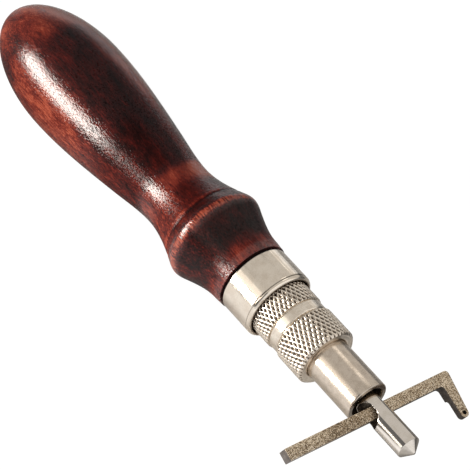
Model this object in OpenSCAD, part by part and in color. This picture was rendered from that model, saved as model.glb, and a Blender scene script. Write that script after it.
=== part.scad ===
// Adjustable leather groover with a turned wooden handle, lying on its side.
// The tool's axis runs along +X, towards the point. Stations are in mm along that axis
// from the joint between wood and ferrule, and the groover bar lies along Y.

/* [Handle] */
// Length of the wood behind the ferrule
handle_l = 102.9; // [90:0.1:115]
// Diameter of the bulb, the fattest place of the grip
bulb_d = 28.0; // [24:0.1:32]
// Distance of the bulb's fattest place behind the ferrule
bulb_back = 74.5; // [68:0.1:80]
// Diameter half way down the taper
taper_d = 22.0; // [20.5:0.1:24]
// Distance of that place behind the ferrule
taper_back = 44.0; // [40:0.1:50]
// Slope of the taper there, in radius per length
taper_slope = 0.146; // [0.1:0.002:0.2]
// Diameter of the neck
neck_d = 18.8; // [17:0.1:20.4]
// Distance of the neck behind the ferrule
neck_back = 30.8; // [27:0.1:35]
// Diameter over the ridge of the flare
ridge_d = 26.0; // [23.5:0.1:28]
// Distance of the ridge behind the ferrule
ridge_back = 15.6; // [13:0.1:18]
// Length from the ridge to where its flanks run straight
ridge_round = 2.4; // [1.5:0.1:3.2]
// How much lower the radius is at the end of that rounding
ridge_drop = 0.7; // [0.4:0.05:1]
// Slope of both flanks there, in radius per length
flank_slope = 0.38; // [0.25:0.01:0.5]
// Length of the foot that meets the ferrule almost straight
foot_l = 3.4; // [2:0.1:5]
// How far the foot swells behind its end, in radius
foot_swell = 0.17; // [0:0.01:0.4]
// How far the wood stands proud of the ferrule, in radius
foot_proud = 0.25; // [0.05:0.01:0.6]
// Length of the dark groove between wood and ferrule
joint_l = 0.7; // [0.3:0.05:1.2]
// Depth of that groove below the ferrule's surface
joint_depth = 0.4; // [0.2:0.05:0.6]
// Distance of the turned line behind the ferrule
line_back = 19.4; // [18.8:0.1:22]
// Width of the turned line
line_w = 0.8; // [0.4:0.05:1.2]
// Depth of the turned line
line_depth = 0.25; // [0.1:0.01:0.5]

/* [Ferrule] */
// Length of the ferrule
ferrule_l = 10.1; // [8:0.1:13]
// Wall of the ferrule
ferrule_wall = 0.7; // [0.5:0.05:0.85]
// Radius of the rounded front edge
ferrule_edge_r = 1.0; // [0.9:0.05:1.4]
// Open ring between the ferrule's mouth and the collar
ferrule_gap = 0.4; // [0.2:0.05:0.8]
// Setback of the wooden tenon behind the rounded edge
tenon_setback = 0.2; // [0.1:0.05:0.6]

/* [Chuck body] */
// Diameter over the knurled collar
collar_d = 16.1; // [15:0.1:18]
// Length of the collar in front of the ferrule
collar_show = 5.7; // [4:0.1:8]
// Diameter of the smooth band
band_d = 15.4; // [14.4:0.1:16]
// Length of the smooth band
band_l = 2.9; // [2:0.1:4]
// Chamfer on collar, band and nut
edge_chamfer = 0.4; // [0.2:0.05:0.6]
// Diameter of the tang in the wood
tang_d = 9.0; // [8:0.1:10.5]
// Length of the tang
tang_l = 30.0; // [20:0.1:36]
// Length of the tang's pointed end
tang_point = 3.0; // [1:0.1:4]

/* [Guide rod] */
// Diameter of the guide rod
rod_d = 6.1; // [5.8:0.05:6.6]
// Length of the rod held in the tang
rod_socket = 7.0; // [5:0.1:12]
// Length from the bar to the foot of the cone
rod_nose = 11.65; // [9:0.05:16]
// Length of the cone
cone_l = 2.1; // [1:0.05:4]
// Diameter of the cone's blunt tip
cone_tip_d = 0.5; // [0.2:0.05:1]
// Width of the cross slot
slot_w = 5.1; // [4.6:0.05:5.4]
// Length of the cross slot along the rod
slot_l = 6.8; // [5.6:0.05:7.4]
// Distance of the slot's middle in front of the bar's middle
slot_ahead = 0.05; // [0:0.05:0.5]
// Diameter of the pin across tang and rod
pin_d = 1.6; // [1:0.05:2.2]
// Distance of that pin from the tang's shoulder
pin_back = 3.9; // [2.5:0.1:4.9]
// How far each end of the pin stays below the tang's surface
pin_sunk = 0.2; // [0.05:0.05:0.5]

/* [Clamp nut and sleeve] */
// Length of the nut
nut_l = 9.0; // [8.4:0.1:12]
// Wall of the nut over its thread
nut_wall = 1.6; // [1.3:0.05:2.2]
// Gap between the nut and the smooth band
nut_back_gap = 0.2; // [0.1:0.05:0.6]
// Chamfer on the nut's front edge
nut_front_chamfer = 0.6; // [0.3:0.05:0.9]
// Thickness of the nut's front lip
lip_t = 1.6; // [1:0.1:2.2]
// Outer diameter of the sleeve
sleeve_d = 11.4; // [10.8:0.1:12]
// Length of the sleeve in front of the nut
sleeve_show = 14.75; // [12:0.05:18]
// Wall of the sleeve at its mouth
mouth_wall = 1.25; // [0.8:0.05:1.6]
// Depth of the wide bore behind the mouth
mouth_depth = 10.4; // [3:0.1:13]
// Height of the sleeve's flange above the sleeve
flange_h = 0.5; // [0.3:0.05:0.8]
// Thickness of the flange
flange_t = 1.15; // [0.8:0.05:1.6]
// Room between the flange and the thread
flange_room = 0.3; // [0.15:0.05:0.5]
// Thickness of the thrust washer
washer_t = 0.6; // [0.4:0.05:0.8]
// Width of the thrust washer's ring
washer_w = 1.8; // [1:0.1:2.4]
// Thickness of the retaining ring
ring_t = 0.7; // [0.5:0.05:0.9]
// Depth of the retaining ring's groove
ring_groove = 0.6; // [0.3:0.05:0.8]
// How far the ring stands into the bore
ring_reach = 0.6; // [0.3:0.05:0.9]
// Width of the slit in the retaining ring
ring_slit = 4.0; // [2:0.1:6]
// Length of bore left free between stud and ring
stud_room = 1.1; // [0.4:0.1:1.6]

/* [Groover bar] */
// Side of the square bar
bar_side = 3.0; // [2.6:0.05:3.1]
// Length of the plain end, from the tool's axis
bar_plain = 27.3; // [20:0.1:35]
// Length of the cutter end, from the tool's axis
bar_cutter = 22.4; // [16:0.1:30]
// Width of the cutter's arm at its root
arm_w = 3.0; // [2.4:0.05:4]
// Width of the arm at its rounded tip
arm_tip_w = 2.25; // [1.8:0.05:2.4]
// Reach of the arm's tip in front of the bar's middle
arm_reach = 10.4; // [8.4:0.1:12]
// Place of the step in the arm, in front of the bar's middle
step_at = 5.0; // [3.6:0.1:5.6]
// Radius in the corner of the step
step_r = 0.9; // [0.3:0.05:1.2]
// Thickness of the arm past the step
arm_t = 2.0; // [1.2:0.05:2.4]
// Diameter of the cutter's eye
eye_d = 1.05; // [0.6:0.05:1.4]
// Distance of the eye from the arm's tip
eye_back = 1.15; // [0.8:0.05:2]
// Radius of the bar's outer corner
corner_outer_r = 1.0; // [0.3:0.05:1.4]
// Radius of the inner corner
corner_inner_r = 1.0; // [0.3:0.05:1.6]
// Turn of the bar about its own length in the slot
bar_turn = 21.6; // [0:0.1:30]
// Gap between the sleeve's mouth and the bar, with the nut loose
clamp_gap = 1.25; // [0.6:0.05:1.4]

/* [Fits] */
// Radial gap of a glued or pressed fit
fixed_fit = 0.03; // [0.01:0.01:0.05]
// Radial gap of a running fit
running_fit = 0.05; // [0.02:0.01:0.1]
// Play of the sleeve's swivel, at each face
swivel_play = 0.05; // [0.02:0.01:0.1]

/* [Hidden] */
$fn = 96;
overlap = 0.5;
cap_steps = 20;
curve_steps = 10;
corner_steps = 8;

// Radii that fit into each other, from the collar outwards and from the sleeve outwards
collar_r = collar_d / 2;
mouth_r = collar_r + ferrule_gap;
ferrule_r = mouth_r + ferrule_edge_r;
ferrule_bore_r = ferrule_r - ferrule_wall;
tenon_r = ferrule_bore_r - fixed_fit;
foot_r = ferrule_r + foot_proud;
tang_r = tang_d / 2;
rod_r = rod_d / 2;
sleeve_r = sleeve_d / 2;
flange_r = sleeve_r + flange_h;
thread_r = flange_r + flange_room;
stud_r = thread_r - running_fit;
nut_r = thread_r + nut_wall;
groove_r = thread_r + ring_groove;

// Stations along the axis, each from the one before
tenon_end = ferrule_l - ferrule_edge_r - tenon_setback;
collar_end = ferrule_l + collar_show;
band_end = collar_end + band_l;
nut_start = band_end + nut_back_gap;
nut_end = nut_start + nut_l;
lip_face = nut_end - lip_t;
flange_front = lip_face - swivel_play;
flange_rear = flange_front - flange_t;
washer_front = flange_rear - swivel_play;
ring_front = washer_front - washer_t;
ring_rear = ring_front - ring_t;
stud_end = ring_rear - stud_room;
sleeve_end = nut_end + sleeve_show;
bar_half = bar_side / 2;
bar_at = sleeve_end + clamp_gap + bar_half * (cos(bar_turn) + sin(bar_turn));
cone_foot = bar_at + rod_nose;
tool_end = cone_foot + cone_l;
rod_rear = tenon_end - rod_socket;
pin_at = tenon_end - pin_back;
tang_end = tenon_end - tang_l;

// The arm narrows evenly from its root at the inner corner to its round tip
arm_tip_r = arm_tip_w / 2;
arm_tip_x = arm_reach - arm_tip_r;
arm_root_x = bar_half + corner_inner_r;
arm_lean = asin((arm_w - arm_tip_w) / 2 / (arm_tip_x - arm_root_x));
function arm_half(x) = arm_tip_r / cos(arm_lean) + (arm_tip_x - x) * tan(arm_lean);
corner_outer_x = corner_outer_r - bar_half;
arm_mid = bar_cutter - corner_outer_r + corner_outer_r / cos(arm_lean) - arm_half(corner_outer_x);

// The axis lies a bulb's radius above the table, and the origin is under the middle of the tool's box
origin_x = (handle_l - tool_end) / 2;
origin_y = (bar_plain - bar_cutter) / 2;
origin_z = bulb_d / 2;

// Knots of the handle's outline: station, radius, slope
flank_r = ridge_d / 2 - ridge_drop;
neck_knot = [-neck_back, neck_d / 2, 0];
flank_knot = [-ridge_back - ridge_round, flank_r, flank_slope];
knots = [
    [-bulb_back, bulb_d / 2, 0],
    [-taper_back, taper_d / 2, -taper_slope],
    neck_knot,
    flank_knot,
    [-ridge_back, ridge_d / 2, 0],
    [-ridge_back + ridge_round, flank_r, -flank_slope],
    [-foot_l, foot_r + foot_swell, 0],
    [-joint_l, foot_r, 0],
];

// A point on the cubic curve between two knots, as radius and station
function curve_radius(a, b, t) =
    let (h = b[0] - a[0])
    (2 * t ^ 3 - 3 * t ^ 2 + 1) * a[1] + (t ^ 3 - 2 * t ^ 2 + t) * h * a[2]
    + (3 * t ^ 2 - 2 * t ^ 3) * b[1] + (t ^ 3 - t ^ 2) * h * b[2];
function curve_point(a, b, t) = [curve_radius(a, b, t), a[0] + (b[0] - a[0]) * t];
function radius_at(a, b, station) = curve_radius(a, b, (station - a[0]) / (b[0] - a[0]));
function arc(centre, r, from, to) =
    [for (i = [0:corner_steps])
        let (a = from + (to - from) * i / corner_steps)
        centre + r * [cos(a), sin(a)]];

cap_points = [for (i = [0:cap_steps - 1])
    let (a = 90 * i / cap_steps)
    [bulb_d / 2 * sin(a), -bulb_back - (handle_l - bulb_back) * cos(a)]];
grip_points = [for (k = [0:len(knots) - 2], i = [0:curve_steps - 1])
    curve_point(knots[k], knots[k + 1], i / curve_steps)];
last_knot = knots[len(knots) - 1];

// Lays a piece that was turned about Z along the tool's axis
module on_axis() {
    translate([origin_x, origin_y, origin_z])
        rotate([0, 90, 0])
            children();
}

// A round bar between two stations
module turned(r, from, to) {
    translate([0, 0, from])
        cylinder(r = r, h = to - from);
}

// A round bar with a chamfer at each end
module turned_chamfered(r, from, to, rear, front) {
    rotate_extrude()
        polygon([[0, from], [r - rear, from], [r, from + rear], [r, to - front], [r - front, to], [0, to]]);
}

// Turned hardwood grip, with a tenon for the ferrule and a blind bore for the tang
module handle() {
    bore_r = tang_r + fixed_fit;
    bore_end = tang_end - fixed_fit;
    color("#4a1710")
        on_axis()
            difference() {
                rotate_extrude()
                    polygon(concat(cap_points, grip_points, [
                        [last_knot[1], last_knot[0]],
                        [ferrule_r - joint_depth, -joint_l],
                        [ferrule_r - joint_depth, 0],
                        [tenon_r, 0],
                        [tenon_r, tenon_end],
                        [bore_r, tenon_end],
                        [bore_r, bore_end + tang_point],
                        [0, bore_end],
                    ]));
                rotate_extrude()
                    translate([radius_at(neck_knot, flank_knot, -line_back), -line_back])
                        polygon([[-line_depth, 0], [line_depth, line_w], [line_depth, -line_w]]);
            }
}

// Drawn metal cup over the tenon, its front edge rolled in round the collar
module ferrule() {
    edge_at = [mouth_r, ferrule_l - ferrule_edge_r];
    color("#cfc7b6")
        on_axis()
            rotate_extrude()
                polygon(concat(
                    [[ferrule_bore_r, 0], [ferrule_r, 0]],
                    arc(edge_at, ferrule_edge_r, 0, 90),
                    arc(edge_at, ferrule_edge_r - ferrule_wall, 90, 0)
                ));
}

// Turned steel body: tang, knurled collar, smooth band and the stud that carries the nut
module chuck_body() {
    color("#b9b0a0")
        on_axis()
            difference() {
                union() {
                    rotate_extrude()
                        polygon([[0, tang_end], [tang_r, tang_end + tang_point],
                                 [tang_r, tenon_end + overlap], [0, tenon_end + overlap]]);
                    turned_chamfered(collar_r, tenon_end, collar_end, edge_chamfer, edge_chamfer);
                    turned_chamfered(band_d / 2, collar_end - overlap, band_end, 0, edge_chamfer);
                    turned(stud_r, band_end - overlap, stud_end);
                }
                turned(rod_r + fixed_fit, rod_rear, stud_end + overlap);
                translate([0, 0, pin_at])
                    rotate([90, 0, 0])
                        cylinder(d = pin_d + 2 * fixed_fit, h = tang_d + overlap, center = true);
            }
}

// Ground steel rod with a cone point, slotted across for the groover bar
module guide_rod() {
    slot_r = slot_w / 2;
    slot_run = slot_l - slot_w;
    color("#d8d4cc")
        on_axis()
            difference() {
                union() {
                    turned(rod_r, rod_rear, cone_foot);
                    translate([0, 0, cone_foot])
                        cylinder(r1 = rod_r, r2 = cone_tip_d / 2, h = cone_l);
                }
                translate([0, 0, bar_at + slot_ahead])
                    rotate([90, 0, 0])
                        union() {
                            for (side = [-1, 1])
                                translate([0, side * slot_run / 2, 0])
                                    cylinder(r = slot_r, h = rod_d + overlap, center = true);
                            cube([slot_w, slot_run, rod_d + overlap], center = true);
                        }
                translate([0, 0, pin_at])
                    rotate([90, 0, 0])
                        cylinder(d = pin_d + 2 * fixed_fit, h = rod_d + overlap, center = true);
            }
}

// Pin across the tang and the rod, shut in by the wood
module rod_pin() {
    color("#8f8f8f")
        on_axis()
            translate([0, 0, pin_at])
                rotate([90, 0, 0])
                    cylinder(d = pin_d, h = tang_d - 2 * pin_sunk, center = true);
}

// Knurled nut: thread behind, a groove for the retaining ring and a lip round the sleeve
module clamp_nut() {
    color("#c2b9a8")
        on_axis()
            difference() {
                turned_chamfered(nut_r, nut_start, nut_end, edge_chamfer, nut_front_chamfer);
                turned(thread_r, nut_start - overlap, lip_face);
                turned(groove_r, ring_rear - swivel_play, ring_front);
                turned(sleeve_r + running_fit, lip_face - overlap, nut_end + overlap);
            }
}

// Flat washer that lets the nut turn against the sleeve
module thrust_washer() {
    washer_r = thread_r - running_fit;
    color("#b08d57")
        on_axis()
            difference() {
                turned(washer_r, ring_front, washer_front);
                turned(washer_r - washer_w, ring_front - overlap, washer_front + overlap);
            }
}

// Split spring ring that holds washer and sleeve in the nut
module retaining_ring() {
    ring_r = groove_r - fixed_fit;
    color("#5d5d60")
        on_axis()
            difference() {
                turned(ring_r, ring_rear, ring_front);
                turned(thread_r - ring_reach, ring_rear - overlap, ring_front + overlap);
                translate([0, ring_r, (ring_rear + ring_front) / 2])
                    cube([ring_slit, 2 * ring_r, ring_t + overlap], center = true);
            }
}

// Flanged sleeve that slides on the rod and presses on the bar
module push_sleeve() {
    color("#c9c1b2")
        on_axis()
            difference() {
                union() {
                    turned(flange_r, flange_rear, flange_front);
                    turned(sleeve_r, flange_rear, sleeve_end);
                }
                turned(rod_r + running_fit, flange_rear - overlap, sleeve_end);
                turned(sleeve_r - mouth_wall, sleeve_end - mouth_depth, sleeve_end + overlap);
            }
}

// Outline of the bar and its arm, seen along the bar's thickness
module bar_outline() {
    inner_y = arm_mid - arm_half(arm_root_x) - corner_inner_r / cos(arm_lean);
    polygon(concat(
        [[-bar_half, -bar_plain], [bar_half, -bar_plain]],
        arc([arm_root_x, inner_y], corner_inner_r, 180, 90 + arm_lean),
        arc([arm_tip_x, arm_mid], arm_tip_r, arm_lean - 90, 90 - arm_lean),
        arc([corner_outer_x, bar_cutter - corner_outer_r], corner_outer_r, 90 - arm_lean, 180)
    ));
}

// Profile of the metal taken off under the arm, seen along the bar
module step_outline() {
    under = bar_half - arm_t;
    polygon(concat(
        [[step_at, -bar_half - overlap], [arm_reach + overlap, -bar_half - overlap], [arm_reach + overlap, under]],
        arc([step_at + step_r, under - step_r], step_r, 90, 180)
    ));
}

// Square bar with a bent arm, thinned at its end and pierced by the cutting eye
module groover_bar() {
    color("#8d7c58")
        translate([origin_x + bar_at, origin_y, origin_z])
            rotate([0, bar_turn, 0])
                difference() {
                    translate([0, 0, -bar_half])
                        linear_extrude(bar_side)
                            bar_outline();
                    translate([0, bar_cutter + overlap, 0])
                        rotate([90, 0, 0])
                            linear_extrude(arm_w + 2 * overlap)
                                step_outline();
                    translate([arm_reach - eye_back, arm_mid, -bar_side])
                        cylinder(d = eye_d, h = 2 * bar_side);
                }
}

handle();
ferrule();
chuck_body();
guide_rod();
rod_pin();
clamp_nut();
thrust_washer();
retaining_ring();
push_sleeve();
groover_bar();
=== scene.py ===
# Adjustable leather groover lying on a pale table: a lacquered wooden handle, a nickel-plated clamp
# and a guide rod that carries the sliding groover bar.
import math

import bmesh
import bpy
from mathutils import Matrix, Quaternion, Vector


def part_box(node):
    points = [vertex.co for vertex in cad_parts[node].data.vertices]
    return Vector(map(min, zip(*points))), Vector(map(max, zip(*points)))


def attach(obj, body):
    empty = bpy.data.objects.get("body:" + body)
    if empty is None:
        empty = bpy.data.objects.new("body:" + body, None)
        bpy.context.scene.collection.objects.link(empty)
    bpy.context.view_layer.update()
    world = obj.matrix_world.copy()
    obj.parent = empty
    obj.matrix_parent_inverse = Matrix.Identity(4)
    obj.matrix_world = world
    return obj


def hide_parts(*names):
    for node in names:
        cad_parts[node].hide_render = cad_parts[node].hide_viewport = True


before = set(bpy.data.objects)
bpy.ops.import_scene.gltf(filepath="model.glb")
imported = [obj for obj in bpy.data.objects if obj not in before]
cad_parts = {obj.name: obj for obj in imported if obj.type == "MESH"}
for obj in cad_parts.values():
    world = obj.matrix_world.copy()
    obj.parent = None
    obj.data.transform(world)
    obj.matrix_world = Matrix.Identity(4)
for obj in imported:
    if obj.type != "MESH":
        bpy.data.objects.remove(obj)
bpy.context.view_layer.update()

# Handle: hardwood turned to a bulb, a neck and a finger ridge, stained dark red-brown, rubbed through
# to orange on the ridge and sealed with gloss lacquer. A tenon at its front takes the ferrule, and a
# blind bore takes the tang of the chuck body.
MM = 0.001
ferrule_low, ferrule_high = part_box("ferrule")
axis_y = (ferrule_low.y + ferrule_high.y) / 2
axis_z = (ferrule_low.z + ferrule_high.z) / 2
axis_origin = Vector((ferrule_low.x, axis_y, axis_z))


def round_node(name, side="z"):
    """Rear station, front station and radius of a round CAD node, in mm. Stations count forward along the
    axis from the joint of wood and ferrule, and the radius is half the box on the given side."""
    low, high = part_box(name)
    radius = (getattr(high, side) - getattr(low, side)) / 2
    return (low.x - axis_origin.x) / MM, (high.x - axis_origin.x) / MM, radius / MM


handle_rear, tenon_end, bulb_radius = round_node("handle")
_, ferrule_length, ferrule_radius = round_node("ferrule")
ferrule_wall = 0.7
bulb_station = -74.5
waist_station = -44.0
waist_radius = 11.0
waist_slope = -0.146
neck_station = -30.8
neck_radius = 9.4
ridge_station = -15.6
ridge_radius = 13.0
ridge_round = 2.4
ridge_side_radius = ridge_radius - 0.7
ridge_side_slope = 0.38
foot_station = -3.4
foot_radius = ferrule_radius + 0.25
foot_swell = 0.17
groove_station = -0.7
groove_radius = ferrule_radius - 0.4
groove_edge = 0.15
line_station = -19.4
line_half_width = 0.8
line_depth = 0.22
line_steps = 8
glue_gap = 0.03
tenon_radius = ferrule_radius - ferrule_wall - glue_gap
tang_radius = 4.5
tang_end = tenon_end - 30.0
tang_point = 3.0
cap_steps = 36
curve_steps = 14
handle_columns = 160

# Places of the outline between which it curves smoothly: station, radius, slope
handle_knots = [
    (bulb_station, bulb_radius, 0.0),
    (waist_station, waist_radius, waist_slope),
    (neck_station, neck_radius, 0.0),
    (ridge_station - ridge_round, ridge_side_radius, ridge_side_slope),
    (ridge_station, ridge_radius, 0.0),
    (ridge_station + ridge_round, ridge_side_radius, -ridge_side_slope),
    (foot_station, foot_radius + foot_swell, 0.0),
    (groove_station - groove_edge, foot_radius, 0.0),
]


def curve_point(start, end, share):
    """A point of the cubic curve between two knots, as station and radius in mm."""
    length = end[0] - start[0]
    square, cube = share ** 2, share ** 3
    radius = (2 * cube - 3 * square + 1) * start[1] + (cube - 2 * square + share) * length * start[2]
    radius += (3 * square - 2 * cube) * end[1] + (cube - square) * length * end[2]
    return start[0] + length * share, radius


def round_points(centre, radius, start, end, steps):
    """Points of an arc in a flat outline, in degrees from its first axis towards its second."""
    turns = [math.radians(start + (end - start) * step / steps) for step in range(steps + 1)]
    return [(centre[0] + radius * math.cos(turn), centre[1] + radius * math.sin(turn)) for turn in turns]


def arc(station, radius, size, start, end, steps=6):
    """Points of a turned edge; 0 degrees points outwards and 90 degrees towards the tool's tip."""
    return round_points((station, radius), size, 90 - start, 90 - end, steps)


def skin(shape, back, front, columns):
    """Faces between two rings of points; a ring of one point is a pole."""
    made = []
    for column in range(columns):
        after = column + 1
        corners = [back[column % len(back)], front[column % len(front)]]
        corners += [front[after % len(front)], back[after % len(back)]]
        made.append(shape.faces.new(dict.fromkeys(corners)))
    return made


def mesh_from(name, shape):
    """A plain mesh from a finished shape, with its faces pointing outwards."""
    bmesh.ops.recalc_face_normals(shape, faces=shape.faces)
    mesh = bpy.data.meshes.new(name)
    shape.to_mesh(mesh)
    shape.free()
    return mesh


def shaded(mesh, sharp_angle=32):
    """Shades a mesh smooth but for the edges that turn by more than an angle in degrees."""
    mesh.shade_smooth()
    mesh.set_sharp_from_angle(angle=math.radians(sharp_angle))
    return mesh


def turned(name, outline, columns):
    """A mesh turned about the tool's axis from (station, radius) points in mm. Radius 0 makes a pole, and
    an outline with no pole is closed on itself."""
    shape = bmesh.new()
    rings = []
    for station, radius in outline:
        ring = []
        for column in range(columns if radius else 1):
            turn = 2 * math.pi * column / columns
            offset = Vector((station, radius * math.cos(turn), radius * math.sin(turn))) * MM
            ring.append(shape.verts.new(axis_origin + offset))
        rings.append(ring)
    pairs = list(zip(rings, rings[1:]))
    if outline[0][1]:
        pairs.append((rings[-1], rings[0]))
    for back, front in pairs:
        skin(shape, back, front, columns)
    return shaded(mesh_from(name, shape))


def handle_outline():
    """Outline of the handle from the pole of its bulb to the bottom of the tang's bore."""
    cap_length = bulb_station - handle_rear
    points = [(handle_rear, 0.0)]
    for step in range(1, cap_steps):
        turn = math.pi / 2 * step / cap_steps
        points.append((bulb_station - cap_length * math.cos(turn), bulb_radius * math.sin(turn)))
    for start, end in zip(handle_knots, handle_knots[1:]):
        points += [curve_point(start, end, step / curve_steps) for step in range(curve_steps)]
    neck, ridge_side = handle_knots[2:4]
    line = []
    for step in range(line_steps + 1):
        offset = line_half_width * (2 * step / line_steps - 1)
        share = (line_station + offset - neck[0]) / (ridge_side[0] - neck[0])
        station, radius = curve_point(neck, ridge_side, share)
        line.append((station, radius - line_depth * math.cos(math.pi * offset / line_half_width / 2) ** 2))
    points = [point for point in points if abs(point[0] - line_station) > line_half_width]
    points = sorted(points + line)
    points += arc(groove_station - groove_edge, foot_radius - groove_edge, groove_edge, 0, 90)
    points += [(groove_station, groove_radius), (0.0, groove_radius), (0.0, tenon_radius)]
    points += [(tenon_end, tenon_radius), (tenon_end, tang_radius + glue_gap)]
    return points + [(tang_end + tang_point, tang_radius + glue_gap), (tang_end - glue_gap, 0.0)]


def connect(made, inputs):
    """Sets a node's inputs, named or counted, each to a value or to a field."""
    for key, value in inputs.items():
        if isinstance(value, Field):
            made.id_data.links.new(value.socket, made.inputs[key])
        else:
            made.inputs[key].default_value = value


def node(tree, kind, inputs=None, **settings):
    """Adds a node with its settings and inputs."""
    made = tree.nodes.new(kind)
    for key, value in settings.items():
        setattr(made, key, value)
    connect(made, inputs or {})
    return made


def field(tree, kind, inputs=None, output=0, **settings):
    """An output of a new node, as a field."""
    return Field(node(tree, kind, inputs, **settings).outputs[output])


class Field:
    """What a node puts out, such as a value or a colour that changes over a surface. Fields of values add
    and multiply as numbers do."""

    def __init__(self, socket):
        self.socket = socket
        self.tree = socket.id_data

    def calc(self, operation, *others):
        """The output of a Math node that takes this field first."""
        return field(self.tree, "ShaderNodeMath", dict(enumerate((self, *others))), operation=operation)

    def __add__(self, other):
        return self.calc("ADD", other)

    def __sub__(self, other):
        return self.calc("SUBTRACT", other)

    def __rsub__(self, other):
        return field(self.tree, "ShaderNodeMath", {0: other, 1: self}, operation="SUBTRACT")

    def __mul__(self, other):
        return self.calc("MULTIPLY", other)

    def __truediv__(self, other):
        return self.calc("DIVIDE", other)

    __radd__ = __add__
    __rmul__ = __mul__

    def vector(self, operation, *others, output="Vector"):
        """The output of a Vector Math node that takes this field first."""
        inputs = dict(enumerate((self, *others)))
        return field(self.tree, "ShaderNodeVectorMath", inputs, output, operation=operation)

    def stretched(self, scale):
        """The coordinates scaled along each axis, which draws a pattern out along the small ones."""
        return self.vector("MULTIPLY", scale)

    def parts(self):
        """The three coordinates of a vector."""
        return [Field(socket) for socket in node(self.tree, "ShaderNodeSeparateXYZ", {0: self}).outputs]

    def axis_radius(self):
        """Distance from the tool's axis of the place that this vector gives."""
        return self.stretched((0.0, 1.0, 1.0)).vector("LENGTH", output="Value")

    def fade(self, low, high):
        """A smooth mask: 0 where the value is at low, 1 where it is at high."""
        limits = {"Value": self, "From Min": min(low, high), "From Max": max(low, high)}
        limits["To Min"] = 0.0 if low < high else 1.0
        limits["To Max"] = 1.0 if low < high else 0.0
        return field(self.tree, "ShaderNodeMapRange", limits, interpolation_type="SMOOTHSTEP")

    def between(self, rise, fall):
        """A smooth mask that grows from 0 to 1 along one pair of values and goes back along another."""
        return self.fade(*rise) * self.fade(fall[1], fall[0])

    def band(self, centre, flat, fading):
        """A smooth mask: 1 within flat of the centre, and 0 past the fading width outside that."""
        return (self - centre).calc("ABSOLUTE").fade(flat + fading, flat)

    def noise(self, scale, detail=2.0, roughness=0.5, distortion=0.0):
        """Grey noise at the place that this vector gives."""
        inputs = {"Vector": self, "Scale": scale, "Detail": detail}
        inputs.update({"Roughness": roughness, "Distortion": distortion})
        return field(self.tree, "ShaderNodeTexNoise", inputs, "Fac")

    def ramp(self, stops):
        """A colour for each value; the stops are place and colour."""
        made = node(self.tree, "ShaderNodeValToRGB", {"Fac": self})
        elements = made.color_ramp.elements
        while len(elements) < len(stops):
            elements.new(1.0)
        for element, (place, colour) in zip(elements, stops):
            element.position = place
            element.color = (*colour, 1.0)
        return Field(made.outputs["Color"])

    def mixed(self, first, second):
        """A colour that goes from the first to the second as this mask goes from 0 to 1."""
        return field(self.tree, "ShaderNodeMix", {0: self, 6: first, 7: second}, 2, data_type="RGBA")

    def bump(self, distance):
        """A normal from this height, where a height of 1 stands that many metres proud."""
        inputs = {"Height": self, "Distance": distance, "Strength": 1.0}
        return field(self.tree, "ShaderNodeBump", inputs, "Normal")


def new_material(name):
    """A material with its tree and its shader."""
    material = bpy.data.materials.new(name)
    material.use_nodes = True
    return material, material.node_tree, material.node_tree.nodes["Principled BSDF"]


def tool_place(tree):
    """Place in mm from the joint of wood and ferrule, its first part the station along the axis."""
    place = field(tree, "ShaderNodeTexCoord", output="Object").vector("SUBTRACT", axis_origin)
    return place.stretched((1 / MM,) * 3)


# Colours of the stain, from its darkest tone to its lightest
stain_colours = [
    (0.00, (0.0040, 0.0010, 0.0010)),
    (0.25, (0.0200, 0.0022, 0.0017)),
    (0.50, (0.0600, 0.0048, 0.0032)),
    (0.75, (0.1600, 0.0190, 0.0095)),
    (1.00, (0.3300, 0.0680, 0.0350)),
]
plain_tone = 0.225
dark_side = math.radians(88)
pole_radius = 7.0
pore_depth = 0.000045

# Patterns of the wood: share of their scale along the grain, scale per mm, detail, roughness, distortion
wood_patterns = {
    "figure": (0.35, 0.16, 3.0, 0.55, 0.8),
    "mottle": (0.35, 0.70, 3.0, 0.60),
    "fibre": (0.08, 3.60, 2.0, 0.65),
    "speck": (0.60, 3.40, 2.0, 0.60),
    "crackle": (0.55, 1.70, 2.0, 0.60),
}

# How much each pattern changes the tone, and how much more it does so on the flanks
pattern_shares = {
    "figure": (0.80, 0.0),
    "mottle": (0.65, 0.15),
    "fibre": (0.65, 0.50),
    "speck": (0.38, 0.50),
}

# Stretches of the handle, by station: where each one fades in and where it fades out
slim_part = ((-62, -42), (-35, -29))
neck_part = ((-34.0, -31.5), (-31.0, -23.0))
cone_part = ((-14.6, -13.0), (-9.0, -3.5))

# Changes of the red along the flanks: from and to which station it grows, and its share
flank_fades = ((-78, -88, -0.90), (-33, -30, -0.50), (-15.0, -12.5, -0.15))

# Stretches of dull lacquer: fading in, fading out, share of the gloss lost, whether on the held side alone
dull_parts = (
    ((-55, -45), (-36, -32.5), 0.80, True),
    ((-31, -25), (-18, -17), 0.85, True),
    ((-15, -13), (-3.6, -2.2), 0.70, False),
)


def wood_lacquer(station, held_side, speck, groove):
    """Weight of the gloss lacquer: broken by pores, dull in places and missing in the groove."""
    lacquer = speck.fade(0.30, 0.50) * (1.0 - groove)
    for rise, fall, share, held_only in dull_parts:
        dull = station.between(rise, fall)
        if held_only:
            dull *= held_side
        lacquer *= 1.0 - share * dull
    return lacquer


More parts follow.
